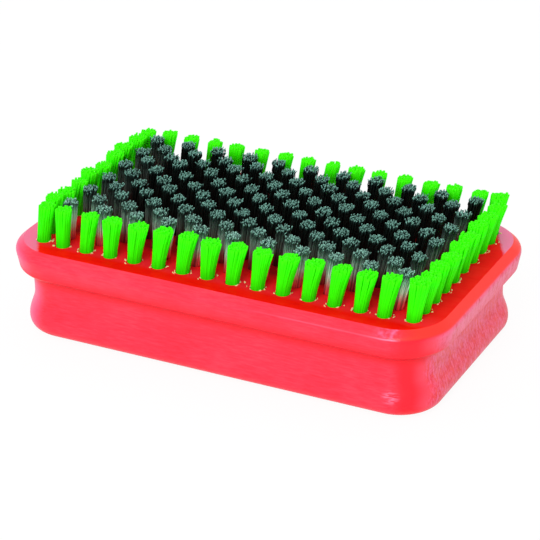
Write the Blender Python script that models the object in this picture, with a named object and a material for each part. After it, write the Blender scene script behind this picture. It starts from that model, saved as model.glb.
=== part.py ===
"""Ski wax brush: a lacquered hardwood block with drilled tufts of green and black nylon.

The brush lies on its flat back with the bristles up. The origin is under the middle of the block,
+X runs along its length and +Y across it. One block carries 164 tufts. The 48 green tufts stand round
the edge of the flat face, each in its own blind drilled hole. The 116 black tufts fill the middle in
11 staggered rows. Each black row is fused to a slice of the wood that it is set in.
"""

import math
from typing import NamedTuple

import bmesh
import bpy
from mathutils import Vector

# Block
BLOCK_LENGTH = 0.130
BLOCK_WIDTH = 0.076
BLOCK_HEIGHT = 0.0272
CORNER_RADIUS = 0.0153

# Side of the block: how far each line lies in from the ridge, its widest line
FACE_INSET = 0.0025
FLANK_INSET = 0.0010
CREASE_INSET = 0.0045
WAIST_INSET = 0.00485
BULGE_INSET = 0.0031
BACK_INSET = 0.0088

# The same lines, as shares of the block's height, measured down from the flat face
RIDGE_SHARE = 0.08
FLANK_SHARE = 0.265
UNDERSIDE_CORNER_SHARE = 0.295
CREASE_SHARE = 0.368
COVE_CORNER_SHARE = 0.43
WAIST_SHARE = 0.58
BULGE_SHARE = 0.85

# How much of the slanted edge above the ridge and of the flank below it the rounding of the ridge takes
EDGE_ROUND_SHARE = 0.45
FLANK_ROUND_SHARE = 0.25

# Gap that every fitted piece keeps to the piece it sits in
CLEARANCE = 0.0003

# The field of tufts lies this far off the middle of the block, towards the back edge
FIELD_OFFSET = 0.0005

# Green tufts, round the edge of the field
GREEN_END_MARGIN = 0.0091
GREEN_SIDE_MARGIN = 0.0085
GREEN_CORNER_TUCK = 0.0009
GREEN_ROOT_RADIUS = 0.0018
GREEN_TIP_RADIUS = 0.00245
GREEN_TIP_HEIGHT = 0.0131
GREEN_HOLE_DEPTH = 0.0085
GREEN_ROW_COUNT = 16
GREEN_COLUMN_COUNT = 10

# Root of a green tuft: the packed bundle in its hole, folded over a flat metal anchor
ROOT_RISE = 0.0004
ANCHOR_THICKNESS = 0.0005
ANCHOR_PROUD = 0.0008
ANCHOR_SPAN_SHARE = 0.9
DRILL_POINT_SHARE = 0.5

# Black tufts, in staggered rows in the middle
BLACK_END_MARGIN = 0.00145
BLACK_EDGE_MARGIN = 0.0003
BLACK_ROOT_RADIUS = 0.0015
BLACK_TIP_RADIUS = 0.0019
BLACK_TIP_HEIGHT = 0.0136
BLACK_ROW_COUNT = 11
BLACK_LONG_ROW_COUNT = 11

# Slices of the block's wood that carry the black rows, and the recess that holds them
SLICE_THICKNESS = 0.0017
RECESS_WALL = 0.0012

# Every tuft leans the same way, as on a used brush: its tip lies this far to the right and to the front
TUFT_LEAN = 0.0035
TUFT_FRONT_LEAN = 0.0033

# Strands of one tuft: green ones fill a third of it each and black ones a half. Each corner of their
# sections is a share of the tuft's radius and a share of a half turn
GREEN_STRAND_COUNT = 3
GREEN_SECTION_SHARES = ((0.17, 0), (1, -0.28), (1, 0), (1, 0.28))
BLACK_STRAND_COUNT = 2
BLACK_SECTION_SHARES = ((1, -0.46), (1, -0.16), (1, 0.16), (1, 0.46))
STRAND_FILL_SHARE = 0.88
STRAND_HEIGHT_SHARES = (1.0, 0.955, 0.98)
STRAND_SINK = 0.0003
TURN_SHARE = 0.382

# Facets
CORNER_STEPS = 9
EDGE_STEPS = 4
UNDERSIDE_STEPS = 4
COVE_STEPS = 4
SWELL_STEPS = 6
BACK_STEPS = 5
HOLE_SIDES = 12
ROOT_SIDES = 8

# Edges sharper than this stay sharp in the shading
SMOOTH_ANGLE = math.radians(30)

# How far a cutter runs past the face that it cuts
OVERRUN = 0.001

# Sizes that follow from the ones above
GREEN_HOLE_RADIUS = GREEN_ROOT_RADIUS + CLEARANCE
GREEN_X = BLOCK_LENGTH / 2 - GREEN_END_MARGIN
GREEN_Y = BLOCK_WIDTH / 2 - GREEN_SIDE_MARGIN
RECESS_X = GREEN_X - GREEN_HOLE_RADIUS - RECESS_WALL
RECESS_Y = GREEN_Y - GREEN_HOLE_RADIUS - RECESS_WALL
RECESS_DEPTH = SLICE_THICKNESS + CLEARANCE
BLACK_X = RECESS_X - CLEARANCE - BLACK_END_MARGIN - BLACK_ROOT_RADIUS
BLACK_Y = RECESS_Y - CLEARANCE - BLACK_EDGE_MARGIN - BLACK_ROOT_RADIUS
BLACK_ROW_PITCH = 2 * BLACK_Y / (BLACK_ROW_COUNT - 1)
BLACK_TUFT_PITCH = 2 * BLACK_X / (BLACK_LONG_ROW_COUNT - 1)


class Bundle(NamedTuple):
    """The strands of one kind of tuft, measured from the block's face."""

    base: float
    root_radius: float
    tip_radius: float
    tip_height: float
    strand_count: int
    section_shares: tuple


GREEN_BUNDLE = Bundle(
    base=ROOT_RISE,
    root_radius=GREEN_ROOT_RADIUS * STRAND_FILL_SHARE,
    tip_radius=GREEN_TIP_RADIUS,
    tip_height=GREEN_TIP_HEIGHT,
    strand_count=GREEN_STRAND_COUNT,
    section_shares=GREEN_SECTION_SHARES,
)
BLACK_BUNDLE = Bundle(
    base=0,
    root_radius=BLACK_ROOT_RADIUS,
    tip_radius=BLACK_TIP_RADIUS,
    tip_height=BLACK_TIP_HEIGHT,
    strand_count=BLACK_STRAND_COUNT,
    section_shares=BLACK_SECTION_SHARES,
)


def clear_scene():
    """Removes whatever the file was opened with."""
    for item in list(bpy.data.objects):
        bpy.data.objects.remove(item, do_unlink=True)


def new_collection(name):
    """A collection of the scene."""
    collection = bpy.data.collections.new(name)
    bpy.context.scene.collection.children.link(collection)
    return collection


def new_material(name, colour, roughness, metallic=0.0):
    """A plain shader with one colour."""
    material = bpy.data.materials.new(name)
    material.use_nodes = True
    shader = material.node_tree.nodes["Principled BSDF"]
    shader.inputs["Base Color"].default_value = (*colour, 1.0)
    shader.inputs["Roughness"].default_value = roughness
    shader.inputs["Metallic"].default_value = metallic
    material.diffuse_color = (*colour, 1.0)
    return material


def new_object(name, shape, collection, materials, location=(0, 0, 0)):
    """Turns a bmesh into an object with these materials, at its place."""
    bmesh.ops.recalc_face_normals(shape, faces=shape.faces)
    mesh = bpy.data.meshes.new(name)
    shape.to_mesh(mesh)
    shape.free()
    item = bpy.data.objects.new(name, mesh)
    for material in materials:
        mesh.materials.append(material)
    item.location = location
    collection.objects.link(item)
    return item


def new_cutter(name, shape, collection, materials=(), location=(0, 0, 0)):
    """An object that only shapes another one: it is drawn as wire and never rendered."""
    item = new_object(name, shape, collection, materials, location)
    item.display_type = "WIRE"
    item.hide_render = True
    return item


def combine(item, other, operation):
    """Cuts the other object out of this one, or joins the two into one body."""
    change = item.modifiers.new(operation.title(), "BOOLEAN")
    change.operation = operation
    change.solver = "EXACT"
    change.object = other


def shade_round(item, angle):
    """Smooth shading that keeps the edges sharper than the angle."""
    item.data.shade_smooth()
    item.data.set_sharp_from_angle(angle=angle)


def bend(start, corner, end, steps):
    """Points on the curve that leaves start towards corner and reaches end from corner."""
    points = []
    for step in range(1, steps + 1):
        along = step / steps
        weights = ((1 - along) ** 2, 2 * along * (1 - along), along ** 2)
        points.append(tuple(sum(w * p for w, p in zip(weights, trio)) for trio in zip(start, corner, end)))
    return points


def swell(start, end, steps):
    """Points on the S-shaped curve between two lines that both run straight down there."""
    points = []
    for step in range(1, steps + 1):
        along = step / steps
        eased = (1 - math.cos(math.pi * along)) / 2
        points.append((start[0] + (end[0] - start[0]) * eased, start[1] + (end[1] - start[1]) * along))
    return points


def between(start, end, share):
    """The point this share of the way from start to end."""
    return tuple(a + (b - a) * share for a, b in zip(start, end))


def side_profile():
    """(inset, height) pairs down the block's side, from the flat face to the back.

    The flange has a slanted edge, a rounded ridge and a flank that draws in a little. A crease parts its
    underside from the cove that the fingers grip. Below the cove the side swells out and rounds into the
    back. The rounded ridge reaches the block's full length and width.
    """
    def line(inset, share):
        return inset, BLOCK_HEIGHT * (1 - share)

    face = line(FACE_INSET, 0)
    ridge = line(0, RIDGE_SHARE)
    flank = line(FLANK_INSET, FLANK_SHARE)
    crease = line(CREASE_INSET, CREASE_SHARE)
    waist = line(WAIST_INSET, WAIST_SHARE)
    bulge = line(BULGE_INSET, BULGE_SHARE)
    edge = between(ridge, face, EDGE_ROUND_SHARE)
    points = [face, edge]
    points += bend(edge, ridge, between(ridge, flank, FLANK_ROUND_SHARE), EDGE_STEPS)
    points.append(flank)
    points += bend(flank, line(FLANK_INSET, UNDERSIDE_CORNER_SHARE), crease, UNDERSIDE_STEPS)
    points += bend(crease, line(WAIST_INSET, COVE_CORNER_SHARE), waist, COVE_STEPS)
    points += swell(waist, bulge, SWELL_STEPS)
    points += bend(bulge, line(BULGE_INSET, 1), line(BACK_INSET, 1), BACK_STEPS)
    widest = min(inset for inset, height in points)
    return [(inset - widest, height) for inset, height in points]


def rounded_rectangle(length, width, radius):
    """Points round a rectangle with arcs for corners, counterclockwise from above."""
    points = []
    for corner, (side_x, side_y) in enumerate(((1, 1), (-1, 1), (-1, -1), (1, -1))):
        centre_x = side_x * (length / 2 - radius)
        centre_y = side_y * (width / 2 - radius)
        for step in range(CORNER_STEPS + 1):
            angle = math.pi / 2 * (corner + step / CORNER_STEPS)
            points.append((centre_x + radius * math.cos(angle), centre_y + radius * math.sin(angle)))
    return points


def block_shape():
    """The block before it is drilled: its outline drawn in by the side profile at every height."""
    shape = bmesh.new()
    rings = []
    for inset, height in reversed(side_profile()):
        outline = rounded_rectangle(BLOCK_LENGTH - 2 * inset, BLOCK_WIDTH - 2 * inset, CORNER_RADIUS - inset)
        rings.append([shape.verts.new((x, y, height)) for x, y in outline])
    for low, high in zip(rings, rings[1:]):
        for here in range(len(low)):
            after = (here + 1) % len(low)
            shape.faces.new((low[here], low[after], high[after], high[here]))
    shape.faces.new(reversed(rings[0]))
    shape.faces.new(rings[-1])
    return shape


def add_box(shape, size, centre):
    """A box added to the shape."""
    corners = bmesh.ops.create_cube(shape, size=1)["verts"]
    bmesh.ops.scale(shape, vec=size, verts=corners)
    bmesh.ops.translate(shape, vec=centre, verts=corners)


def add_rod(shape, radius, low, high, place, sides):
    """An upright rod added to the shape. Returns its bottom face."""
    corners = bmesh.ops.create_cone(
        shape, cap_ends=True, segments=sides, radius1=radius, radius2=radius, depth=high - low
    )["verts"]
    bmesh.ops.translate(shape, vec=(place[0], place[1], (low + high) / 2), verts=corners)
    faces = {face for corner in corners for face in corner.link_faces}
    return min(faces, key=lambda face: face.calc_center_median().z)


def add_drill(shape, place):
    """A drill for one green hole, with its pointed end."""
    bottom = BLOCK_HEIGHT - GREEN_HOLE_DEPTH
    cap = add_rod(shape, GREEN_HOLE_RADIUS, bottom, BLOCK_HEIGHT + OVERRUN, place, HOLE_SIDES)
    tip = bmesh.ops.poke(shape, faces=[cap])["verts"]
    bmesh.ops.translate(shape, vec=(0, 0, -GREEN_HOLE_RADIUS * DRILL_POINT_SHARE), verts=tip)


def strand_section(shares, radius, turn, centre, height):
    """The corners of one strand's section, turned about the middle of its tuft."""
    polar = [(radius * reach, turn + math.pi * angle) for reach, angle in shares]
    return [Vector((centre[0] + r * math.cos(a), centre[1] + r * math.sin(a), height)) for r, a in polar]


def add_strand(shape, low, high, material_index):
    """A closed strand between two sections. It starts a little way inside its backing."""
    sink = STRAND_SINK / (high[0].z - low[0].z)
    sunk = [start - (end - start) * sink for start, end in zip(low, high)]
    bottom = [shape.verts.new(point) for point in sunk]
    top = [shape.verts.new(point) for point in high]
    faces = [shape.faces.new(reversed(bottom)), shape.faces.new(top)]
    for here in range(len(bottom)):
        after = (here + 1) % len(bottom)
        faces.append(shape.faces.new((bottom[here], bottom[after], top[after], top[here])))
    for face in faces:
        face.material_index = material_index


def add_strands(shape, bundle, place, index, material_index=0):
    """The strands of one tuft, which lean together and spread towards their ragged tips."""
    for number in range(bundle.strand_count):
        turn = 2 * math.pi * (number / bundle.strand_count + TURN_SHARE * index)
        ragged = STRAND_HEIGHT_SHARES[(number + index) % len(STRAND_HEIGHT_SHARES)]
        tip = (place[0] + TUFT_LEAN * ragged, place[1] - TUFT_FRONT_LEAN * ragged)
        low = strand_section(bundle.section_shares, bundle.root_radius, turn, place, bundle.base)
        high = strand_section(bundle.section_shares, bundle.tip_radius, turn, tip, bundle.tip_height * ragged)
        add_strand(shape, low, high, material_index)


def green_row(side, offset):
    """Name and place of the green tufts in the front or back row, corner tufts included."""
    spots = []
    for number in range(GREEN_ROW_COUNT):
        along = 2 * number / (GREEN_ROW_COUNT - 1) - 1
        tuck = GREEN_CORNER_TUCK if number in (0, GREEN_ROW_COUNT - 1) else 0
        place = (along * (GREEN_X - tuck), FIELD_OFFSET + offset * (GREEN_Y - tuck))
        spots.append((f"{side}_green_tuft_{number + 1:02d}", place))
    return spots


def green_column(side, offset):
    """Name and place of the green tufts in the left or right column, between the corners."""
    spots = []
    for number in range(1, GREEN_COLUMN_COUNT - 1):
        place = (offset * GREEN_X, FIELD_OFFSET + (2 * number / (GREEN_COLUMN_COUNT - 1) - 1) * GREEN_Y)
        spots.append((f"{side}_green_tuft_{number:02d}", place))
    return spots


def make_block(parts, cutters, lacquer, spots):
    """The wooden block, with its blind holes for the green tufts and the recess for the slices."""
    block = new_object("wood_block", block_shape(), parts, [lacquer])
    drills = bmesh.new()
    for name, place in spots:
        add_drill(drills, place)
    combine(block, new_cutter("green_hole_drills", drills, cutters), "DIFFERENCE")
    recess = bmesh.new()
    height = RECESS_DEPTH + OVERRUN
    add_box(recess, (2 * RECESS_X, 2 * RECESS_Y, height), (0, 0, height / 2))
    floor = (0, FIELD_OFFSET, BLOCK_HEIGHT - RECESS_DEPTH)
    combine(block, new_cutter("slice_recess", recess, cutters, location=floor), "DIFFERENCE")
    shade_round(block, SMOOTH_ANGLE)
    return block


def make_green_tuft(parts, cutters, nylon, index, spot):
    """One green tuft: its packed root, the anchor that holds the root down, and its strands."""
    name, place = spot
    mouth = (*place, BLOCK_HEIGHT)
    bottom = CLEARANCE + ANCHOR_PROUD - GREEN_HOLE_DEPTH
    root = bmesh.new()
    add_rod(root, GREEN_ROOT_RADIUS, bottom, ROOT_RISE, (0, 0), ROOT_SIDES)
    tuft = new_object(name, root, parts, [nylon], mouth)
    joined = bmesh.new()
    add_strands(joined, GREEN_BUNDLE, (0, 0), index)
    span = 2 * GREEN_ROOT_RADIUS * ANCHOR_SPAN_SHARE
    add_box(joined, (span, ANCHOR_THICKNESS, 2 * ANCHOR_PROUD), (0, 0, bottom))
    combine(tuft, new_cutter(f"{name}_strands", joined, cutters, [nylon], mouth), "UNION")
    return tuft


def make_black_row(parts, cutters, lacquer, nylon, row):
    """One black row: a slice of the block's face with its tufts fused to it.

    Every second row has one tuft fewer and lies half a pitch over. The first and last slices end at the
    recess, and the others halfway to the next row.
    """
    middle = (row - (BLACK_ROW_COUNT - 1) / 2) * BLACK_ROW_PITCH
    low = -(BLACK_ROW_PITCH - CLEARANCE) / 2
    high = -low
    if row == 0:
        low = CLEARANCE - RECESS_Y - middle
    if row == BLACK_ROW_COUNT - 1:
        high = RECESS_Y - CLEARANCE - middle
    name = f"black_tuft_row_{row + 1:02d}"
    place = (0, FIELD_OFFSET + middle, BLOCK_HEIGHT)
    shape = bmesh.new()
    size = (2 * (RECESS_X - CLEARANCE), high - low, SLICE_THICKNESS)
    add_box(shape, size, (0, (low + high) / 2, -SLICE_THICKNESS / 2))
    wood_slice = new_object(name, shape, parts, [lacquer, nylon], place)
    strands = bmesh.new()
    short = row % 2
    for number in range(BLACK_LONG_ROW_COUNT - short):
        x = -BLACK_X + (number + short / 2) * BLACK_TUFT_PITCH
        index = number + row * BLACK_LONG_ROW_COUNT
        add_strands(strands, BLACK_BUNDLE, (x, 0), index, material_index=1)
    combine(wood_slice, new_cutter(f"{name}_strands", strands, cutters, [lacquer, nylon], place), "UNION")
    return wood_slice


def main():
    """Builds the whole brush, with every piece a child of one empty at the origin."""
    clear_scene()
    parts = new_collection("ski_wax_brush")
    cutters = new_collection("cutters")
    lacquer = new_material("red_lacquered_wood", (0.83, 0.02, 0.035), 0.32)
    green_nylon = new_material("green_nylon", (0.04, 0.87, 0.005), 0.4)
    black_nylon = new_material("black_nylon", (0.012, 0.022, 0.022), 0.35)
    spots = green_row("front", -1) + green_row("back", 1)
    spots += green_column("left", -1) + green_column("right", 1)
    pieces = [make_block(parts, cutters, lacquer, spots)]
    pieces += [make_green_tuft(parts, cutters, green_nylon, index, spot) for index, spot in enumerate(spots)]
    pieces += [make_black_row(parts, cutters, lacquer, black_nylon, row) for row in range(BLACK_ROW_COUNT)]
    brush = bpy.data.objects.new("ski_wax_brush", None)
    parts.objects.link(brush)
    for piece in pieces:
        piece.parent = brush


main()
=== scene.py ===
"""Ski wax brush, dressed: a lacquered hardwood block with 164 drilled tufts of single filaments.

The brush lies on its back with the bristles up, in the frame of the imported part: the origin is under
the middle of the block, +X runs along it and +Y across it, in metres. The block is one piece of wood
here, with every hole drilled. Each green tuft and each black row stands for the CAD node of its name.
"""

import math
from types import SimpleNamespace

import bpy
import numpy as np
from mathutils import Matrix, Vector
from mathutils.geometry import delaunay_2d_cdt


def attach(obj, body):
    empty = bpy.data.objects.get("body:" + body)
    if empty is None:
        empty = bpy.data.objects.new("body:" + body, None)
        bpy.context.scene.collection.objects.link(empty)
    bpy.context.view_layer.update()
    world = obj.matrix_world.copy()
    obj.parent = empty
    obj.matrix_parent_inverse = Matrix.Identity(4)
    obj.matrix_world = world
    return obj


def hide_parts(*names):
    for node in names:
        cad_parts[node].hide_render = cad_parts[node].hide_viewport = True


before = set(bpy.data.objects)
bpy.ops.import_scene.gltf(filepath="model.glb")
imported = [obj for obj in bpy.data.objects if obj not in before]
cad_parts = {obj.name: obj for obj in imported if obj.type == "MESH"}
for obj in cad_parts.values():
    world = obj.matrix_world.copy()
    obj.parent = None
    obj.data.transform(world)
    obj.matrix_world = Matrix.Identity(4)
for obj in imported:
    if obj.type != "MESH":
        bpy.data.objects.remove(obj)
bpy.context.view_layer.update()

# Block, as in the part
BLOCK_LENGTH = 0.130
BLOCK_WIDTH = 0.076
BLOCK_HEIGHT = 0.0272
CORNER_RADIUS = 0.0153
FACE_INSET = 0.0025
FLANK_INSET = 0.0010
CREASE_INSET = 0.0045
WAIST_INSET = 0.00485
BULGE_INSET = 0.0031
BACK_INSET = 0.0088
RIDGE_SHARE = 0.08
FLANK_SHARE = 0.265
UNDERSIDE_CORNER_SHARE = 0.295
CREASE_SHARE = 0.368
COVE_CORNER_SHARE = 0.43
WAIST_SHARE = 0.58
BULGE_SHARE = 0.85
RIDGE_ROUND_SHARES = (0.45, 0.25)

# How finely the block is divided: steps down each stretch of its side and round each corner, the angle in
# degrees from which an edge is sharp, and how near two points of the face are when they are one
RIDGE_STEPS = 10
FLANK_STEPS = 4
UNDERSIDE_STEPS = 14
COVE_STEPS = 12
BELLY_STEPS = 16
EDGE_STEPS = 14
CORNER_STEPS = 28
SHARP_ANGLE = 50
SAME_POINT = 1e-9

# Holes in the block
GREEN_HOLE_RADIUS = 0.0020
BLACK_HOLE_RADIUS = 0.00165
HOLE_DEPTH = 0.004
HOLE_SIDES = 24

# Slivers of wood round the green holes: how many at each, where round it in half turns, and their sizes
FIBRE_SEED = 7
FIBRE_COUNTS = (4, 8)
FIBRE_HALF_TURNS = (1.05, 1.15, 1.25, 1.9, 0.05, 0.15)
FIBRE_TURN_JITTER = 0.22
FIBRE_HALF_ARCS = (0.08, 0.30)
FIBRE_WIDTHS = (0.00030, 0.00060)
FIBRE_RISES = (0.00010, 0.00040)
FIBRE_GAP = 0.0001
FIBRE_GAP_JITTER = 0.00045
FIBRE_LIFT = 0.00002
FIBRE_STATIONS = 6
FIBRE_THICKNESSES = (0.6, 1.2)
FIBRE_END_THICKNESS = 0.12
FIBRE_EDGE_JITTER = 0.00004
FIBRE_CREST_SHIFT = 0.0001

# Places of the tufts, as in the part
FIELD_OFFSET = 0.0005
GREEN_X = 0.0559
GREEN_Y = 0.0295
GREEN_CORNER_TUCK = 0.0009
GREEN_ROW_COUNT = 16
GREEN_COLUMN_COUNT = 10
BLACK_X = 0.04935
BLACK_Y = 0.0241
BLACK_ROW_COUNT = 11
BLACK_LONG_ROW_COUNT = 11
TUFT_LEAN = 0.0035
TUFT_FRONT_LEAN = 0.0033

# Tufts that stand apart from the rest: the shift of their foot and the change of their lean, each along
# and across, how much taller they are, and how wide they spread as a share of the usual. The dark one is
# named by its row and its number there. All of the back row but its last tuft is narrower.
EVEN_TUFT = {"foot": (0, 0), "lean": (0, 0), "taller": 0, "spread": 1}
ODD_TUFTS = {
    "front_green_tuft_01": {"spread": 0.84},
    "front_green_tuft_02": {"lean": (-0.0003, 0), "spread": 0.86},
    "front_green_tuft_03": {"spread": 0.88},
    "front_green_tuft_15": {"foot": (-0.0007, 0), "lean": (0.0003, 0.0002), "taller": 0.0006, "spread": 0.98},
    "front_green_tuft_16": {"foot": (0.0006, 0), "lean": (-0.0009, 0.0009), "taller": 0.0003, "spread": 0.95},
    "back_green_tuft_16": {"foot": (-0.0003, 0), "lean": (-0.0009, 0.0008), "taller": 0.0001, "spread": 0.9},
    "left_green_tuft_02": {"taller": -0.0009, "spread": 0.9},
    "left_green_tuft_03": {"taller": -0.0007, "spread": 0.9},
    "left_green_tuft_05": {"taller": -0.0009, "spread": 0.9},
    "black_tuft_row_08_02": {"lean": (-0.0002, 0.0006), "taller": 0.0005, "spread": 1.08},
}
BACK_SPREAD = 0.79
for back_number in range(1, GREEN_ROW_COUNT):
    ODD_TUFTS[f"back_green_tuft_{back_number:02d}"] = {"spread": BACK_SPREAD}

# How much painted light the dark tufts' stems carry, paler as lit and seen through: in the three front
# rows, in the first tuft of every row, and in the last tuft of each long row but the hindmost
PAINTED_LIGHT_ROW_SHARES = (1.0, 0.55, 0.15)
PAINTED_LIGHT_FIRST_SHARE = 0.1
PAINTED_LIGHT_END_SHARE = 0.2

# Seeds of the tufts' random draws
GREEN_SEED = 100
BLACK_SEED = 1000
BLACK_SEEDS_IN_ROW = 20

# Filaments of each kind of tuft: rings of them in the bundle, their radius and sides, the heights of their
# levels above the face, the bundle's radius at the root and the tip and how late it flares, how much the
# tips dome and how uneven they are, how far a filament strays, and the depth and length of its crimp
GREEN = SimpleNamespace(
    rings=4, radius=0.00034, sides=6, levels=(-0.0022, 0.0, 0.003, 0.006, 0.009, 0.0131),
    root=0.00155, tip=0.00238, flare=1.3, height=0.0131, dome=0.0001, ragged=0.0008,
    stray=0.00010, crimp=0.00002, wave=0.006,
)
BLACK = SimpleNamespace(
    rings=4, radius=0.00016, sides=5,
    levels=(-0.0022, 0.0, 0.0040, 0.0075, 0.0095, 0.0106, 0.0114, 0.0120, 0.0126, 0.0131, 0.0137),
    root=0.00134, tip=0.00182, flare=1.3, height=0.0137, dome=0.0003, ragged=0.0010,
    stray=0.00022, crimp=0.00022, wave=0.0024,
)

# How uneven all tufts are, and how their lean, strays and crimp grow with the share of the height
SPOT_JITTER = 0.03
LEAN_JITTER = 0.00022
TIP_SPREADS = (0.95, 1.05)
LEAN_POWER = 1.1
STRAY_POWER = 2
CRIMP_POWER = 4
ROOT_CRIMP = 0.2

# Camera, solved from the photograph: azimuth, elevation and roll in degrees, the distance and the place
# it looks at in metres, the focal length and the frame in pixels, and the sensor in millimetres
CAMERA_ANGLES = (26.39, 26.33, -0.38)
CAMERA_DISTANCE = 0.62985
CAMERA_TARGET = (0.00971, -0.01848, BLOCK_HEIGHT + 0.00019)
FOCAL_PIXELS = 2348.2
FRAME_PIXELS = 540
SENSOR_WIDTH = 36
CLIP_START = 0.01
CLIP_END = 20

# Light and floor: the white room, the lamp, the grey beyond the floor, and how white the floor is seen
ROOM_LIGHT = 0.97
LAMP_PLACE = (0.22, -1.15, 0.92)
LAMP_AIM = (0, 0, 0.02)
LAMP_SIZE = 0.6
LAMP_POWER = 10.0
WHITE = (1, 1, 1)
BACKDROP_GREY = (0.8, 0.8, 0.8)
FLOOR_WHITE = 0.93
FLOOR_REACH = 4.0
FLOOR_SHADES = [(0.3, (0.93, 0.93, 0.93)), (0.7, (0.95, 0.95, 0.95))]

# Colours of the lacquer on the face, as red, green and blue or as stops of a ramp, and how much a slow
# cloud adds to the brush strokes
FACE_REDS = [(0.45, (0.88, 0.003, 0.002)), (0.75, (1.0, 0.005, 0.002)), (1.0, (1.0, 0.014, 0.008))]
# painted pink sheen in the glossy corners of the face, the right one's and the left one's
SHEEN_PINK_RIGHT = (0.92, 0.13, 0.33)
SHEEN_PINK_LEFT = (0.88, 0.09, 0.24)
# painted rosy sheen along the front margin of the face
ROSY_SHEEN_RED = (1.0, 0.022, 0.034)
# painted shade on the face between the dark tufts
PAINTED_SHADE_RED = (0.16, 0.004, 0.008)
FACE_CLOUD_WEIGHT = 0.5

# Places on the face: the direction to its glossy corners, where they begin and where their painted pink
# sheen changes from the right one's to the left one's, the edges of the painted shade between the dark
# tufts, and the front margin's painted rosy sheen with the stretch over which it fades backwards
GLOSS_SLANT = (0.868, 0.496)
GLOSS_EDGE = (0.0634, 0.0644)
GLOSS_EDGE_WAVE = 0.0012
SHEEN_PINK_CHANGE = (0.01, -0.01)
SHADE_END_EDGE = (0.0525, 0.0500)
SHADE_FRONT_EDGE = (-0.0225, -0.0195)
SHADE_BACK_EDGE = (0.0275, 0.0255)
SHADE_SHARE = 0.65
ROSY_FRONT_EDGE = (-0.0322, -0.0300)
ROSY_SHARE = 0.8
ROSY_FADING = (-0.0285, -0.0240)
ROSY_LEFT_OVER = 0.3

# Colours of the lacquer down the sides; their pink is partly painted sheen, which changes with the way
# a side faces
LONG_SIDE_REDS = [(0.55, (0.80, 0.010, 0.034)), (0.8, (0.83, 0.020, 0.054)), (1.0, (0.84, 0.034, 0.072))]
END_REDS = [
    (0.45, (0.66, 0.016, 0.034)), (0.62, (0.74, 0.042, 0.100)),
    (0.78, (0.73, 0.080, 0.175)), (1.0, (0.80, 0.108, 0.225)),
]
SPECK_RED = (0.76, 0.046, 0.040)
# the right corners a purer red, without the painted pink sheen of the other sides
CORNER_RED = (0.86, 0.004, 0.020)
# painted pink sheen where the side turns towards an end
END_EDGE_RED = (0.81, 0.046, 0.090)
# painted light: the facet above the right corners is a brighter coral where it faces up
CORAL = (0.94, 0.024, 0.016)
# painted lilac sheen on the left end
LILAC = (0.80, 0.115, 0.31)
LILAC_SHARE = 0.65
# painted shade in the crease and just above it
CREASE_SHADE_RED = (0.80, 0.001, 0.012)
SHINE_PINK = (0.90, 0.30, 0.50)
# painted gloss on the patch above the ridge at the front right corner
GLOSS_PATCH_PINK = (0.86, 0.13, 0.30)
# painted glints, pale dashes low on the front right corner
GLINT_PINK = (0.88, 0.24, 0.42)

# What makes up the grain of the long sides and the end grain, whose patches are paler towards the top
SIDE_CLOUD_WEIGHT = 0.6
PORE_WEIGHT = 0.9
RAY_WEIGHT = 2.1
RAY_OFFSET = -0.7
PATCH_WEIGHT = 0.8
PATCH_OFFSETS = (-0.57, -0.27)

# Places down the sides: heights above the back, and places along and across the block
SPECKS_FADE = (0.0215, 0.0185)
CREASE_HEIGHT = BLOCK_HEIGHT * (1 - CREASE_SHARE)
# edges of the painted shade in the crease and just above it
CREASE_UPPER_EDGE = (CREASE_HEIGHT + 0.0056, CREASE_HEIGHT + 0.0018)
CREASE_LOWER_EDGE = (CREASE_HEIGHT - 0.0030, CREASE_HEIGHT)
SHINE_HEIGHT = 0.02505
SHINE_EDGE = (0.00004, 0.00030)
FAINT_SHINE = (0.008, 0.030)
BRIGHT_SHINE = (0.046, 0.053)
CORNER_TURN = (0.0535, 0.0560)
# where the painted gloss patch lies above the ridge at the front right corner
GLOSS_PATCH_START = (0.0475, 0.0515)
GLOSS_PATCH_LOWER_EDGE = (0.0252, 0.0257)
GLOSS_PATCH_BACK_EDGE = (-0.015, -0.025)
# where the painted glints lie, low on the front right corner
DASHES_X = 0.0521
DASHES_FLATTENING = 1.3
DASHES_HEIGHT = 0.0083 / DASHES_FLATTENING
DASHES_REACH = (0.0007, 0.0030)

# Colours of the bare wood and the nylon, the nylon's from the root to the cut tip
WOOD_COLOURS = [(0.30, (0.85, 0.42, 0.20)), (0.42, (0.97, 0.70, 0.32)), (0.7, (0.98, 0.84, 0.42))]
GREEN_STEM = [
    (0.0, (0.026, 0.84, 0.001)), (0.25, (0.034, 0.92, 0.001)),
    (0.85, (0.036, 0.94, 0.001)), (1.0, (0.055, 0.96, 0.002)),
]
# the dark nylon is near black, and its cut tips are painted pale teal, a painted highlight where light falls
# on them
BLACK_STEM = [
    (0.0, (0.005, 0.004, 0.004)), (0.88, (0.006, 0.012, 0.010)),
    (0.95, (0.015, 0.042, 0.036)), (1.0, (0.155, 0.345, 0.285)),
]
# painted light on the dark tufts' stems: a painted red reflection of the block at the root, pale lit stems
# and pale tips
PAINTED_LIGHT_STEM = [
    (0.0, (0.75, 0.03, 0.05)), (0.2, (0.80, 0.14, 0.16)), (0.5, (0.76, 0.90, 0.81)),
    (0.75, (0.40, 0.66, 0.56)), (0.9, (0.09, 0.18, 0.15)), (0.95, (0.06, 0.13, 0.11)),
    (1.0, (0.24, 0.46, 0.38)),
]
NYLON_ROUGHNESSES = (0.42, 0.58)
NYLON_SHEEN_SCALE = 3000.0


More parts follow.
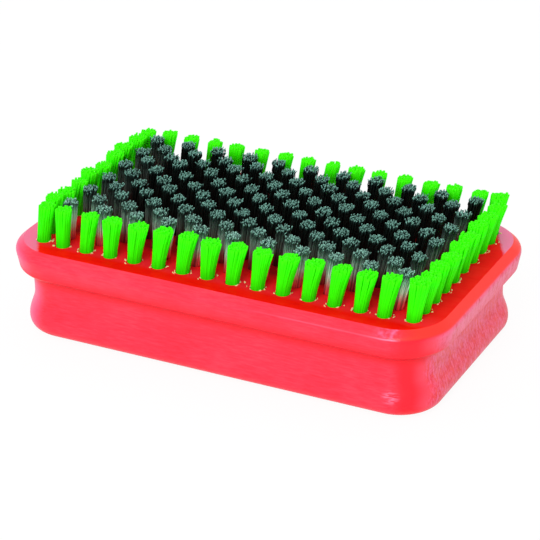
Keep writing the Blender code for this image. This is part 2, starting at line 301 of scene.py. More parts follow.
def mesh_object(name, points, faces, materials, attributes=None):
    """An object from an array of points and a list of face arrays, all faces of one array alike in size."""
    mesh = bpy.data.meshes.new(name)
    points = np.asarray(points, dtype=np.float32)
    sizes = np.concatenate([np.full(len(block), block.shape[1]) for block in faces])
    corners = np.concatenate([block.ravel() for block in faces])
    mesh.vertices.add(len(points))
    mesh.vertices.foreach_set("co", points.ravel())
    mesh.loops.add(len(corners))
    mesh.loops.foreach_set("vertex_index", corners.astype(np.int32))
    mesh.polygons.add(len(sizes))
    mesh.polygons.foreach_set("loop_start", np.concatenate([[0], np.cumsum(sizes)[:-1]]).astype(np.int32))
    mesh.polygons.foreach_set("loop_total", sizes.astype(np.int32))
    for key, values in (attributes or {}).items():
        layer = mesh.attributes.new(key, "FLOAT", "POINT")
        layer.data.foreach_set("value", np.asarray(values, dtype=np.float32))
    mesh.update()
    mesh.validate()
    item = bpy.data.objects.new(name, mesh)
    for material in materials:
        mesh.materials.append(material)
    bpy.context.scene.collection.objects.link(item)
    return item


# Nodes


def feed(tree, node, **inputs):
    """Set or link a node's inputs, by number as i0 and i1, or by name with _ for a space. A colour is
    red, green and blue."""
    for key, value in inputs.items():
        socket = node.inputs[int(key[1:])] if key[1:].isdigit() else node.inputs[key.replace("_", " ")]
        if isinstance(value, bpy.types.NodeSocket):
            tree.links.new(value, socket)
        elif socket.type == "RGBA":
            socket.default_value = (*value, 1)
        else:
            socket.default_value = value


def node_maker(tree):
    """A function that adds a node to this tree, with its settings and inputs."""
    def add(kind, settings=None, **inputs):
        node = tree.nodes.new(kind)
        for key, value in (settings or {}).items():
            setattr(node, key, value)
        feed(tree, node, **inputs)
        return node

    return add


def new_material(name):
    """A material with its node tree, its Principled shader and a function that adds nodes."""
    material = bpy.data.materials.new(name)
    material.use_nodes = True
    tree = material.node_tree
    return material, tree, tree.nodes["Principled BSDF"], node_maker(tree)


def calc(add, operation, *values):
    """The output of a math node for these inputs."""
    inputs = {f"i{number}": value for number, value in enumerate(values)}
    return add("ShaderNodeMath", {"operation": operation}, **inputs).outputs[0]


def product(add, first, *others):
    """All these values multiplied."""
    for other in others:
        first = calc(add, "MULTIPLY", first, other)
    return first


def span(add, value, limits, low=0.0, high=1.0, smooth=False):
    """From low to high as the value goes from the first limit to the second, and level beyond them."""
    kind = {"interpolation_type": "SMOOTHSTEP" if smooth else "LINEAR"}
    return add("ShaderNodeMapRange", kind, i0=value, i1=limits[0], i2=limits[1], i3=low, i4=high).outputs[0]


def noise(add, where, scale, detail=2.0, roughness=0.5, turn=(0, 0, 0)):
    """A noise value. A scale of three numbers, with a turn, stretches the noise along one direction."""
    if isinstance(scale, tuple):
        where = add("ShaderNodeMapping", i0=where, Rotation=turn, Scale=scale).outputs[0]
        scale = 1.0
    return add("ShaderNodeTexNoise", Vector=where, Scale=scale, Detail=detail, Roughness=roughness).outputs[0]


def mix(add, share, first, second):
    """The colour this share of the way from the first to the second."""
    return add("ShaderNodeMix", {"data_type": "RGBA"}, i0=share, i6=first, i7=second).outputs[2]


def ramp(add, value, stops):
    """A colour ramp from (position, colour) pairs."""
    node = add("ShaderNodeValToRGB", i0=value)
    elements = node.color_ramp.elements
    while len(elements) > 1:
        elements.remove(elements[-1])
    elements[0].position, elements[0].color = stops[0][0], (*stops[0][1], 1)
    for position, colour in stops[1:]:
        elements.new(position).color = (*colour, 1)
    return node.outputs["Color"]


def bump(add, height, strength, depth):
    """The surface's normal, raised and lowered by the height."""
    return add("ShaderNodeBump", Strength=strength, Distance=depth, Height=height).outputs[0]


def background_rays(add):
    """1 for the rays by which the camera, glossy surfaces and clear ones see the background, else 0."""
    path = add("ShaderNodeLightPath").outputs
    rays = calc(add, "MAXIMUM", path["Is Camera Ray"], path["Is Glossy Ray"])
    return calc(add, "MAXIMUM", rays, path["Is Transmission Ray"])


# Materials


def face_gloss(add, x, y, stroke):
    """How glossy the face is: 1 in the left front and right back corners, with an uneven edge, else 0."""
    along = product(add, x, GLOSS_SLANT[0])
    slant = calc(add, "ABSOLUTE", calc(add, "MULTIPLY_ADD", y, GLOSS_SLANT[1], along))
    return span(add, calc(add, "MULTIPLY_ADD", stroke, GLOSS_EDGE_WAVE, slant), GLOSS_EDGE)


def face_painted_shade(add, x, y):
    """How much painted shade darkens the face between the dark tufts."""
    inner_x = span(add, calc(add, "ABSOLUTE", x), SHADE_END_EDGE)
    inner_y = product(add, span(add, y, SHADE_FRONT_EDGE), span(add, y, SHADE_BACK_EDGE))
    return product(add, inner_x, inner_y, SHADE_SHARE)


def face_material():
    """Red lacquer on the flat face: a deep, even red with faint brush strokes, with painted shade between
    the dark tufts and a painted rosy sheen along the front margin. In the left front and right back
    corners it is glossy and carries a painted pink sheen."""
    material, tree, shader, add = new_material("red_lacquer_face")
    where = add("ShaderNodeTexCoord").outputs["Object"]
    x, y = add("ShaderNodeSeparateXYZ", i0=where).outputs[:2]
    stroke = noise(add, where, (90, 500, 500), detail=4.0, roughness=0.6)
    cloud = noise(add, where, 160.0, detail=3.0)
    mixed = calc(add, "MULTIPLY_ADD", cloud, FACE_CLOUD_WEIGHT, stroke)
    glossy = face_gloss(add, x, y, stroke)
    # painted rosy sheen along the front margin, fading backwards
    rosy = span(add, y, ROSY_FRONT_EDGE, high=ROSY_SHARE)
    rosy = product(add, rosy, span(add, y, ROSY_FADING, low=1.0, high=ROSY_LEFT_OVER))
    # painted pink sheen for the glossy corners, changing from the right one's to the left one's
    corner_sheen = mix(add, span(add, x, SHEEN_PINK_CHANGE), SHEEN_PINK_RIGHT, SHEEN_PINK_LEFT)
    colour = mix(add, rosy, ramp(add, mixed, FACE_REDS), ROSY_SHEEN_RED)
    # painted shade between the dark tufts
    colour = mix(add, face_painted_shade(add, x, y), colour, PAINTED_SHADE_RED)
    colour = mix(add, glossy, colour, corner_sheen)
    feed(
        tree, shader, Base_Color=colour, Normal=bump(add, mixed, strength=0.15, depth=0.0002),
        Roughness=span(add, glossy, (0.0, 1.0), low=0.5, high=0.16), Specular_IOR_Level=0.02,
        Coat_Weight=glossy, Coat_Roughness=0.1,
    )
    return material


def side_places(add):
    """Where a point of the side is, and how far it faces each way or is short of the right corner's turn,
    as shares from 0 to 1."""
    where = add("ShaderNodeTexCoord").outputs["Object"]
    x, y, height = add("ShaderNodeSeparateXYZ", i0=where).outputs
    normal = add("ShaderNodeSeparateXYZ", i0=add("ShaderNodeNewGeometry").outputs["Normal"]).outputs
    endward = calc(add, "ABSOLUTE", normal[0])
    return SimpleNamespace(
        where=where, x=x, y=y, height=height,
        rightward=span(add, normal[0], (0.12, 0.50), smooth=True),
        leftward=span(add, normal[0], (-0.2, -0.75), smooth=True),
        forward=span(add, normal[1], (-0.3, -0.6), smooth=True),
        upward=span(add, normal[2], (0.30, 0.62), smooth=True),
        near_end=span(add, endward, (0.60, 0.90), smooth=True),
        at_end=span(add, endward, (0.80, 0.99), smooth=True),
        before_corner=span(add, x, CORNER_TURN, low=1.0, high=0.0, smooth=True),
    )


def end_grain(add, side):
    """End grain, as a value and its colour: slanting rays and pores in patches, paler towards the top,
    with warmer specks on the lower part."""
    rays = noise(add, side.where, (500, 1500, 330), detail=4.0, roughness=0.75, turn=(-0.5, 0, 0))
    pores = noise(add, side.where, 1300.0)
    rays = calc(add, "MULTIPLY_ADD", rays, RAY_WEIGHT, RAY_OFFSET)
    value = calc(add, "MULTIPLY_ADD", pores, PORE_WEIGHT, rays)
    higher = span(add, side.height, (0.0, BLOCK_HEIGHT), *PATCH_OFFSETS)
    patches = calc(add, "MULTIPLY_ADD", noise(add, side.where, 260.0), PATCH_WEIGHT, higher)
    value = calc(add, "ADD", value, patches)
    specks = noise(add, side.where, (1000, 1300, 600), detail=3.0, roughness=0.7)
    specks = span(add, specks, (0.50, 0.60), high=0.85, smooth=True)
    lower = span(add, side.height, SPECKS_FADE, low=0.15, smooth=True)
    return value, mix(add, product(add, specks, lower), ramp(add, value, END_REDS), SPECK_RED)


def crease_painted_shade(add, side):
    """How much painted shade darkens the crease and the band just above it, less at the two ends."""
    above = span(add, side.height, CREASE_UPPER_EDGE, smooth=True)
    below = span(add, side.height, CREASE_LOWER_EDGE, smooth=True)
    return product(add, above, below, span(add, side.at_end, (0.0, 1.0), low=0.85, high=0.2))


def ridge_shine(add, side):
    """The fine highlight along the ridge in front, faint at first and bright before the right corner."""
    off_ridge = calc(add, "ABSOLUTE", calc(add, "SUBTRACT", side.height, SHINE_HEIGHT))
    thin = span(add, off_ridge, SHINE_EDGE, low=1.0, high=0.0, smooth=True)
    faint = span(add, side.x, FAINT_SHINE, high=0.12, smooth=True)
    bright = span(add, side.x, BRIGHT_SHINE, high=0.40, smooth=True)
    return product(add, calc(add, "ADD", faint, bright), side.before_corner, thin, side.forward)


def painted_gloss_patch(add, side):
    """The blotchy patch of painted gloss above the ridge at the front right corner."""
    along = product(add, span(add, side.x, GLOSS_PATCH_START, smooth=True), side.before_corner)
    blotch = span(add, noise(add, side.where, 700.0), (0.38, 0.66), high=0.75)
    above_ridge = span(add, side.height, GLOSS_PATCH_LOWER_EDGE, smooth=True)
    return product(add, along, product(add, blotch, span(add, side.y, GLOSS_PATCH_BACK_EDGE), above_ridge))


def painted_glints(add, side):
    """The short pale dashes low on the front right corner, painted glints."""
    dashes = span(add, noise(add, side.where, (420, 420, 2300)), (0.44, 0.60), smooth=True)
    flatten = {
        "Location": (-DASHES_X, 0.0, -DASHES_HEIGHT * DASHES_FLATTENING),
        "Scale": (1.0, 0.0, DASHES_FLATTENING),
    }
    from_middle = add("ShaderNodeMapping", i0=side.where, **flatten).outputs[0]
    distance = add("ShaderNodeVectorMath", {"operation": "LENGTH"}, i0=from_middle).outputs["Value"]
    near = span(add, distance, DASHES_REACH, low=0.5, high=0.0, smooth=True)
    return product(add, dashes, near, side.forward)


def side_material():
    """Red lacquer down the sides. The long sides show fine straight grain and the short ones end grain,
    whose pores and rays are paler through the lacquer. The sides' pink is partly painted sheen: the right
    corners are a purer red without it, the sides turning towards an end carry more, the facet above the
    right corners is a brighter coral of painted light where it faces up, and the left end has a painted
    lilac sheen. The crease is darkened with painted shade, a painted highlight runs along the ridge, and
    the front right corner has a painted gloss patch above the ridge and painted glints low down."""
    material, tree, shader, add = new_material("red_lacquer_side")
    side = side_places(add)
    grain = noise(add, side.where, (260, 2000, 2000), detail=5.0, roughness=0.62)
    cloud = noise(add, side.where, 55.0, detail=3.0)
    grain = calc(add, "MULTIPLY_ADD", cloud, SIDE_CLOUD_WEIGHT, grain)
    ends, end_colour = end_grain(add, side)
    layers = (
        # purer red on the right corners, without the painted pink sheen
        (side.rightward, CORNER_RED),
        # painted pink sheen where the side turns towards an end
        (side.near_end, END_EDGE_RED),
        (side.at_end, end_colour),
        # painted light: brighter coral where the right facet faces up
        (product(add, side.upward, side.rightward), CORAL),
        # painted lilac sheen on the left end
        (product(add, side.leftward, LILAC_SHARE), LILAC),
        # painted shade in the crease
        (crease_painted_shade(add, side), CREASE_SHADE_RED),
        (ridge_shine(add, side), SHINE_PINK),
        # painted gloss on the patch above the ridge at the front right corner
        (painted_gloss_patch(add, side), GLOSS_PATCH_PINK),
        # painted glints low on the front right corner
        (painted_glints(add, side), GLINT_PINK),
    )
    # the long sides' grain, its pink partly painted sheen
    colour = ramp(add, grain, LONG_SIDE_REDS)
    for share, tint in layers:
        colour = mix(add, share, colour, tint)
    relief = add("ShaderNodeMix", {"data_type": "FLOAT"}, i0=side.at_end, i2=grain, i3=ends).outputs[0]
    feed(
        tree, shader, Base_Color=colour, Normal=bump(add, relief, strength=0.14, depth=0.0002),
        Roughness=span(add, cloud, (0.0, 1.0), low=0.36, high=0.50), Specular_IOR_Level=0.25,
        Coat_Weight=0.15, Coat_Roughness=0.08,
    )
    return material


def bare_wood_material():
    """Pale bare wood, torn up round the drilled holes."""
    material, tree, shader, add = new_material("bare_wood_fibre")
    fleck = noise(add, add("ShaderNodeTexCoord").outputs["Object"], 1500.0, detail=3.0)
    feed(
        tree, shader, Base_Color=ramp(add, fleck, WOOD_COLOURS),
        Normal=bump(add, fleck, strength=0.4, depth=0.0001), Roughness=0.75,
    )
    return material


def filament_material(name, stem, tone, specular, painted_light_colours=None):
    """Nylon filaments: the colour changes from the root to the cut tip, and its depth differs by the tone
    from one filament to the next. A tuft with a share of painted light is nearer to the colours of its paler,
    lit stems."""
    material, tree, shader, add = new_material(name)
    along, shade = (
        add("ShaderNodeAttribute", {"attribute_name": key}).outputs["Fac"] for key in ("along", "shade")
    )
    colour = ramp(add, along, stem)
    if painted_light_colours:
        # painted light, stored as the share named clear: paler stems as lit and seen through
        clear = add("ShaderNodeAttribute", {"attribute_name": "clear"}).outputs["Fac"]
        colour = mix(add, clear, colour, ramp(add, along, painted_light_colours))
    level = span(add, shade, (0.0, 1.0), low=1 - tone, high=1 + tone)
    toned = add("ShaderNodeVectorMath", {"operation": "SCALE"}, i0=colour, Scale=level).outputs[0]
    fine = noise(add, add("ShaderNodeTexCoord").outputs["Object"], NYLON_SHEEN_SCALE)
    rough = span(add, fine, (0.0, 1.0), *NYLON_ROUGHNESSES)
    feed(tree, shader, Base_Color=toned, Roughness=rough, Specular_IOR_Level=specular)
    return material


def floor_material():
    """A pale, matt floor that the background's rays see nearly as plain white."""
    material, tree, shader, add = new_material("pale_floor")
    cloud = noise(add, add("ShaderNodeTexCoord").outputs["Object"], 3.0)
    feed(tree, shader, Base_Color=ramp(add, cloud, FLOOR_SHADES), Roughness=0.9, Specular_IOR_Level=0.0)
    seen = product(add, background_rays(add), FLOOR_WHITE)
    glow = add("ShaderNodeEmission", Color=WHITE, Strength=1.0)
    both = add("ShaderNodeMixShader", i0=seen, i1=shader.outputs[0], i2=glow.outputs[0])
    tree.links.new(both.outputs[0], tree.nodes["Material Output"].inputs["Surface"])
    return material


# Block


def bend(start, corner, end, steps):
    """Points on the curve that leaves start towards corner and reaches end from corner."""
    points = []
    for step in range(1, steps + 1):
        along = step / steps
        weights = ((1 - along) ** 2, 2 * along * (1 - along), along ** 2)
        points.append(tuple(sum(w * p for w, p in zip(weights, trio)) for trio in zip(start, corner, end)))
    return points


def swell(start, end, steps):
    """Points on the S-shaped curve between two lines that both run straight down there."""
    points = []
    for step in range(1, steps + 1):
        along = step / steps
        eased = (1 - math.cos(math.pi * along)) / 2
        points.append((start[0] + (end[0] - start[0]) * eased, start[1] + (end[1] - start[1]) * along))
    return points


def between(start, end, share):
    """The point this share of the way from start to end."""
    return tuple(a + (b - a) * share for a, b in zip(start, end))


def side_profile():
    """(inset, height) pairs down the block's side, and the numbers of the lines that stay crisp."""
    def line(inset, share):
        return inset, BLOCK_HEIGHT * (1 - share)

    face, ridge, flank = line(FACE_INSET, 0), line(0, RIDGE_SHARE), line(FLANK_INSET, FLANK_SHARE)
    crease, waist = line(CREASE_INSET, CREASE_SHARE), line(WAIST_INSET, WAIST_SHARE)
    bulge = line(BULGE_INSET, BULGE_SHARE)
    over, under = RIDGE_ROUND_SHARES
    points = [face, between(face, ridge, (1 - over) / 2), between(face, ridge, 1 - over)]
    points += bend(points[-1], ridge, between(ridge, flank, under), RIDGE_STEPS)
    points += [between(points[-1], flank, step / FLANK_STEPS) for step in range(1, FLANK_STEPS + 1)]
    points += bend(flank, line(FLANK_INSET, UNDERSIDE_CORNER_SHARE), crease, UNDERSIDE_STEPS)
    crisp = [0, len(points) - 1]
    points += bend(crease, line(WAIST_INSET, COVE_CORNER_SHARE), waist, COVE_STEPS)
    points += swell(waist, bulge, BELLY_STEPS)
    points += bend(bulge, line(BULGE_INSET, 1), line(BACK_INSET, 1), EDGE_STEPS)
    widest = min(inset for inset, height in points)
    return [(inset - widest, height) for inset, height in points], crisp


def rounded_rectangle(length, width, radius):
    """Points round a rectangle with arcs for corners, counterclockwise from above."""
    points = []
    for corner, (side_x, side_y) in enumerate(((1, 1), (-1, 1), (-1, -1), (1, -1))):
        centre_x = side_x * (length / 2 - radius)
        centre_y = side_y * (width / 2 - radius)
        for step in range(CORNER_STEPS + 1):
            angle = math.pi / 2 * (corner + step / CORNER_STEPS)
            points.append((centre_x + radius * math.cos(angle), centre_y + radius * math.sin(angle)))
    return points


def side_rings(profile):
    """The points and quads of the block's side, and how many points go round it."""
    points, quads = [], []
    for inset, height in profile:
        outline = rounded_rectangle(BLOCK_LENGTH - 2 * inset, BLOCK_WIDTH - 2 * inset, CORNER_RADIUS - inset)
        points += [(x, y, height) for x, y in outline]
    around = len(outline)
    for ring in range(len(profile) - 1):
        top, low = ring * around, (ring + 1) * around
        for here in range(around):
            after = (here + 1) % around
            quads.append((top + here, low + here, low + after, top + after))
    return points, quads, around


def drill(hole, points, quads, faces):
    """Add a hole's wall and bottom to the block's points, quads and faces."""
    x, y, radius = hole
    rim = len(points)
    low = rim + HOLE_SIDES
    for depth in (0, HOLE_DEPTH):
        for step in range(HOLE_SIDES):
            angle = 2 * math.pi * step / HOLE_SIDES
            across = (x + radius * math.cos(angle), y + radius * math.sin(angle))
            points.append((*across, BLOCK_HEIGHT - depth))
    for here in range(HOLE_SIDES):
        after = (here + 1) % HOLE_SIDES
        quads.append((rim + here, rim + after, low + after, low + here))
    faces.append(tuple(low + here for here in range(HOLE_SIDES)))


def face_triangles(points, loops, holes):
    """Triangles that fill the flat face between its edge and the rims of the holes."""
    flat = [number for loop in loops for number in loop]
    place = {number: order for order, number in enumerate(flat)}
    edges = [(place[a], place[b]) for loop in loops for a, b in zip(loop, loop[1:] + loop[:1])]
    plane = [Vector(points[number][:2]) for number in flat]
    found = delaunay_2d_cdt(plane, edges, [], 0, SAME_POINT)
    spots, trios, origins = found[0], found[2], found[3]
    triangles = []
    for trio in trios:
        middle = sum((spots[number] for number in trio), Vector((0, 0))) / 3
        if any((middle.x - x) ** 2 + (middle.y - y) ** 2 < radius ** 2 for x, y, radius in holes):
            continue
        triangle = [flat[origins[number][0]] for number in trio]
        a, b, c = (Vector(points[number]) for number in triangle)
        if (b - a).cross(c - a).z < 0:
            triangle.reverse()
        triangles.append(tuple(triangle))
    return triangles


def mark_crisp_lines(mesh, crisp, around):
    """Shade the block smooth, but keep these rings of the side and every steep edge sharp."""
    mesh.shade_smooth()
    mesh.set_sharp_from_angle(angle=math.radians(SHARP_ANGLE))
    sharp = {
        tuple(sorted((ring * around + here, ring * around + (here + 1) % around)))
        for ring in crisp for here in range(around)
    }
    for edge in mesh.edges:
        if tuple(sorted(edge.vertices)) in sharp:
            edge.use_edge_sharp = True


def make_block(side, face, holes):
    """The block as one closed body: the face with its holes, the moulded side and the back."""
    profile, crisp = side_profile()
    points, quads, around = side_rings(profile)
    drilled = len(points)
    back = drilled - around
    faces = [tuple(back + here for here in reversed(range(around)))]
    loops = [list(range(around))]
    for hole in holes:
        loops.append([len(points) + here for here in range(HOLE_SIDES)])
        drill(hole, points, quads, faces)
    faces += face_triangles(points, loops, holes)

    mesh = bpy.data.meshes.new("wood_block_lacquered")
    mesh.from_pydata(points, [], quads + faces)
    mesh.validate()
    mesh.materials.append(side)
    mesh.materials.append(face)
    for polygon in mesh.polygons:
        polygon.material_index = int(all(number < around or number >= drilled for number in polygon.vertices))
    mark_crisp_lines(mesh, crisp, around)
    item = bpy.data.objects.new("wood_block_lacquered", mesh)
    bpy.context.scene.collection.objects.link(item)
    return item


def sliver_points(rng, x, y):
    """Three points at each station along one torn-up sliver of wood beside the hole at this place."""
    middle = math.pi * rng.choice(FIBRE_HALF_TURNS) + rng.normal(0, FIBRE_TURN_JITTER)
    half_arc = rng.uniform(*FIBRE_HALF_ARCS)
    width = rng.uniform(*FIBRE_WIDTHS)
    rise = rng.uniform(*FIBRE_RISES)
    away = GREEN_HOLE_RADIUS + abs(rng.normal(FIBRE_GAP, FIBRE_GAP_JITTER))
    points = []
    for station in range(FIBRE_STATIONS):
        share = station / (FIBRE_STATIONS - 1)
        thick = max(math.sin(math.pi * share), FIBRE_END_THICKNESS) * rng.uniform(*FIBRE_THICKNESSES)
        angle = middle + (share - 0.5) * half_arc * 2
        outward = np.array((math.cos(angle), math.sin(angle), 0))
        foot = np.array((x, y, BLOCK_HEIGHT + FIBRE_LIFT))
        base = foot + outward * (away + rng.normal(0, FIBRE_EDGE_JITTER))
        crest = outward * rng.uniform(-FIBRE_CREST_SHIFT, FIBRE_CREST_SHIFT)
        points += [
            base - outward * width * thick / 2,
            base + outward * width * thick / 2,
            base + crest + np.array((0, 0, rise * thick)),
        ]
    return points


def make_fibres(material, spots):
    """Pale slivers of wood that the drill tore up at the edges of the green tufts' holes."""
    rng = np.random.RandomState(FIBRE_SEED)
    points, quads, ends = [], [], []
    for x, y in spots:
        for sliver in range(rng.randint(*FIBRE_COUNTS)):
            start = len(points)
            points += sliver_points(rng, x, y)
            last = len(points) - 3
            for low in range(start, last, 3):
                high = low + 3
                quads += [(low + a, low + b, high + b, high + a) for a, b in ((0, 2), (2, 1), (1, 0))]
            ends += [(start, start + 1, start + 2), (last + 2, last + 1, last)]
    return mesh_object("wood_fibres", points, [np.array(quads), np.array(ends)], [material])


# Tufts


def packed_spots(rings):
    """Centres of round filaments packed in a hexagon of so many rings, scaled into a disc of radius 1."""
    spots = []
    for q in range(-rings, rings + 1):
        for r in range(max(-rings, -q - rings), min(rings, -q + rings) + 1):
            x, y = q + r / 2, r * math.sqrt(3) / 2
            ring = max(abs(q), abs(r), abs(q + r))
            size = math.hypot(x, y)
            scale = ring / size if size else 0
            spots.append((x * scale / rings, y * scale / rings))
    return np.array(spots)


def what_is_odd(name):
    """What sets the tuft of this name apart from the rest."""
    return {**EVEN_TUFT, **ODD_TUFTS.get(name, {})}


def grow_tuft(style, place, seed, odd):
    """The points of a tuft's filaments, as an array of filament, level, corner and axis, with the share
    of the height at each level and each filament's shade."""
    rng = np.random.RandomState(seed)
    spots = packed_spots(style.rings)
    turn = rng.uniform(0, math.pi / 3)
    spots = spots @ np.array([[math.cos(turn), math.sin(turn)], [-math.sin(turn), math.cos(turn)]])
    spots += rng.normal(0, SPOT_JITTER, spots.shape)
    number = len(spots)
    away = np.hypot(spots[:, 0], spots[:, 1])
    top = style.height - style.dome * away ** 2 - rng.uniform(0, style.ragged, number) + odd["taller"]
    levels = np.array(style.levels)
    share = np.clip(levels / style.height, 0, 1)
    z = levels[None] * np.where(levels > 0, (top / style.height)[:, None], 1)
    usual_lean = (TUFT_LEAN, -TUFT_FRONT_LEAN)
    lean = np.array([usual + more for usual, more in zip(usual_lean, odd["lean"])])
    lean = lean + rng.normal(0, LEAN_JITTER, 2)
    swing = share ** LEAN_POWER
    tip = style.tip * odd["spread"] * rng.uniform(*TIP_SPREADS)
    size = style.root + (tip - style.root) * share ** style.flare
    drift = rng.normal(0, style.stray, (number, 2))
    turn = rng.uniform(0, 2 * math.pi, number)
    phase = rng.uniform(0, 2 * math.pi, number)
    growth = ROOT_CRIMP + (1 - ROOT_CRIMP) * share[None] ** CRIMP_POWER
    wave = np.sin(2 * math.pi * z / style.wave + phase[:, None]) * style.crimp * growth
    centre = np.zeros((number, len(levels), 3))
    for axis, side in enumerate((np.cos(turn), np.sin(turn))):
        centre[:, :, axis] = (
            place[axis] + lean[axis] * swing[None] + spots[:, axis, None] * size[None]
            + drift[:, axis, None] * share[None] ** STRAY_POWER + wave * side[:, None]
        )
    centre[:, :, 2] = BLOCK_HEIGHT + z
    angles = 2 * math.pi * np.arange(style.sides) / style.sides
    ring = np.stack([np.cos(angles), np.sin(angles), np.zeros(style.sides)], 1) * style.radius
    points = centre[:, :, None, :] + ring[None, None]
    return points, share, rng.uniform(0, 1, number)


def tube_faces(number, rows, sides):
    """Faces of so many closed tubes, each with rows of points round it, as arrays of quads and ends."""
    first = np.arange(number) * rows * sides
    base = first[:, None, None]
    row = (np.arange(rows - 1) * sides)[None, :, None]
    here = np.arange(sides)[None, None]
    after = (here + 1) % sides
    low, high = base + row, base + row + sides
    quads = np.stack([low + here, low + after, high + after, high + here], -1)
    bottom = first[:, None] + np.arange(sides)[::-1][None]
    top = first[:, None] + (rows - 1) * sides + np.arange(sides)[None]
    return [quads.reshape(-1, 4), np.concatenate([bottom, top])]


def filament_object(name, style, tufts, material, painted_light_shares=None):
    """One object with the filaments of all these tufts. Each filament is a closed tube of its own. The
    last argument says how much painted light each tuft's stems carry."""
    grown = [grow_tuft(style, *tuft) for tuft in tufts]
    points = np.concatenate([points for points, share, shade in grown])
    shade = np.concatenate([shade for points, share, shade in grown])
    number, rows, sides = points.shape[:3]
    values = {
        "along": np.broadcast_to(grown[0][1][None, :, None], (number, rows, sides)).ravel(),
        "shade": np.broadcast_to(shade[:, None, None], (number, rows, sides)).ravel(),
    }
    # each tuft's share of painted light, stored as clear
    if painted_light_shares:
        values["clear"] = np.repeat(painted_light_shares, number // len(tufts) * rows * sides)
    return mesh_object(name, points.reshape(-1, 3), tube_faces(number, rows, sides), [material], values)


def green_row(side, offset):
    """Name and place of the green tufts in the front or back row, corner tufts included."""
    spots = []
    for number in range(GREEN_ROW_COUNT):
        along = 2 * number / (GREEN_ROW_COUNT - 1) - 1
        tuck = GREEN_CORNER_TUCK if number in (0, GREEN_ROW_COUNT - 1) else 0
        x, y = along * (GREEN_X - tuck), offset * (GREEN_Y - tuck)
        spots.append((f"{side}_green_tuft_{number + 1:02d}", [x, y + FIELD_OFFSET]))
    return spots


def green_column(side, offset):
    """Name and place of the green tufts in the left or right column, between the corners."""
    spots = []
    for number in range(1, GREEN_COLUMN_COUNT - 1):
        y = (2 * number / (GREEN_COLUMN_COUNT - 1) - 1) * GREEN_Y
        spots.append((f"{side}_green_tuft_{number:02d}", [offset * GREEN_X, y + FIELD_OFFSET]))
    return spots


def black_row(row):
    """Places of the black tufts in one row. Every second row has one tuft fewer."""
    y = (2 * row / (BLACK_ROW_COUNT - 1) - 1) * BLACK_Y + FIELD_OFFSET
    short = row % 2
    pitch = 2 * BLACK_X / (BLACK_LONG_ROW_COUNT - 1)
    return [(-BLACK_X + (number + short / 2) * pitch, y) for number in range(BLACK_LONG_ROW_COUNT - short)]


def row_painted_light(row, count):
    """How much painted light each tuft of a black row carries on its stems."""
    painted_light_shares = [PAINTED_LIGHT_ROW_SHARES[row] if row < len(PAINTED_LIGHT_ROW_SHARES) else 0.0] * count
    painted_light_shares[0] = max(painted_light_shares[0], PAINTED_LIGHT_FIRST_SHARE)
    if count == BLACK_LONG_ROW_COUNT and row < BLACK_ROW_COUNT - 1:
        painted_light_shares[-1] = max(painted_light_shares[-1], PAINTED_LIGHT_END_SHARE)
    return painted_light_shares


# Camera, floor and light


def make_camera():
    """The photograph's viewpoint, solved from the tuft grid and the outline of the block."""
    azimuth, elevation, roll = (math.radians(angle) for angle in CAMERA_ANGLES)
    back = Vector((
        math.sin(azimuth) * math.cos(elevation), -math.cos(azimuth) * math.cos(elevation), math.sin(elevation)
    ))
    right = (-back).cross(Vector((0, 0, 1))).normalized()
    up = right.cross(-back)
    turned_right = right * math.cos(roll) + up * math.sin(roll)
    turned_up = up * math.cos(roll) - right * math.sin(roll)
    data = bpy.data.cameras.new("camera")
    data.sensor_width = SENSOR_WIDTH
    data.lens = FOCAL_PIXELS / FRAME_PIXELS * SENSOR_WIDTH
    data.clip_start, data.clip_end = CLIP_START, CLIP_END
    camera = bpy.data.objects.new("camera", data)
    axes = Matrix((turned_right, turned_up, back)).transposed()
    place = Vector(CAMERA_TARGET) + back * CAMERA_DISTANCE
    camera.matrix_world = Matrix.Translation(place) @ axes.to_4x4()
    bpy.context.scene.collection.objects.link(camera)
    bpy.context.scene.camera = camera


def make_floor():
    """A wide white floor under the brush, which keeps the brush's shadow."""
    corners = np.array([(-1, -1, 0), (1, -1, 0), (1, 1, 0), (-1, 1, 0)]) * FLOOR_REACH
    floor = mesh_object("studio_floor", corners, [np.array([[0, 1, 2, 3]])], [floor_material()])


def make_room():
    """A white room, which the background's rays see as pale grey beyond the floor."""
    world = bpy.data.worlds.new("studio")
    bpy.context.scene.world = world
    world.use_nodes = True
    tree = world.node_tree
    add = node_maker(tree)
    room = tree.nodes["Background"]
    feed(tree, room, Color=WHITE, Strength=ROOM_LIGHT)
    seen = add("ShaderNodeBackground", Color=BACKDROP_GREY, Strength=1.0)
    both = add("ShaderNodeMixShader", i0=background_rays(add), i1=room.outputs[0], i2=seen.outputs[0])
    tree.links.new(both.outputs[0], tree.nodes["World Output"].inputs[0])


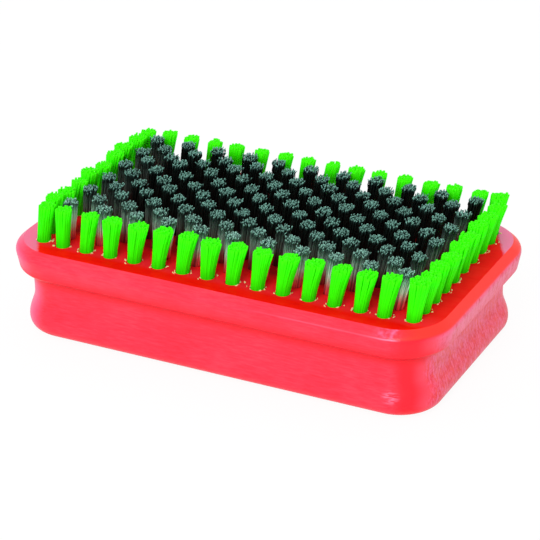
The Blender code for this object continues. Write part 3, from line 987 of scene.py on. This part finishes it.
def make_lamp():
    """One large soft lamp, high in front and a little to the right."""
    data = bpy.data.lights.new("key", "AREA")
    data.shape = "SQUARE"
    data.size = LAMP_SIZE
    data.energy = LAMP_POWER
    lamp = bpy.data.objects.new("key", data)
    lamp.location = LAMP_PLACE
    lamp.rotation_euler = (Vector(LAMP_AIM) - Vector(LAMP_PLACE)).to_track_quat("-Z", "Y").to_euler()
    bpy.context.scene.collection.objects.link(lamp)


make_camera()
make_floor()
make_room()
make_lamp()

green_nylon = filament_material("green_nylon", GREEN_STEM, tone=0.06, specular=0.06)
black_nylon = filament_material("black_nylon", BLACK_STEM, tone=0.5, specular=0.12, painted_light_colours=PAINTED_LIGHT_STEM)

green_spots = green_row("front", -1) + green_row("back", 1)
green_spots += green_column("left", -1) + green_column("right", 1)
black_rows = [black_row(row) for row in range(BLACK_ROW_COUNT)]

for name, place in green_spots:
    foot = what_is_odd(name)["foot"]
    place[0] += foot[0]
    place[1] += foot[1]
holes = [(*place, GREEN_HOLE_RADIUS) for name, place in green_spots]
holes += [(*place, BLACK_HOLE_RADIUS) for row in black_rows for place in row]
block = make_block(side_material(), face_material(), holes)
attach(block, "root")
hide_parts("wood_block")
fibres = make_fibres(bare_wood_material(), [place for name, place in green_spots])
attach(fibres, "root")
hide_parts("wood_block")

for index, (name, place) in enumerate(green_spots):
    tuft = (place, GREEN_SEED + index, what_is_odd(name))
    piece = filament_object(f"{name}_filaments", GREEN, [tuft], green_nylon)
    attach(piece, "root")
    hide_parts(name)

for row, places in enumerate(black_rows):
    tufts = []
    for number, place in enumerate(places):
        odd = what_is_odd(f"black_tuft_row_{row + 1:02d}_{number + 1:02d}")
        tufts.append((place, BLACK_SEED + BLACK_SEEDS_IN_ROW * row + number, odd))
    painted_light_shares = row_painted_light(row, len(places))
    piece = filament_object(f"black_tuft_row_{row + 1:02d}_filaments", BLACK, tufts, black_nylon, painted_light_shares)
    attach(piece, "root")
    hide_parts(f"black_tuft_row_{row + 1:02d}")

bpy.context.scene.view_settings.view_transform = "Standard"
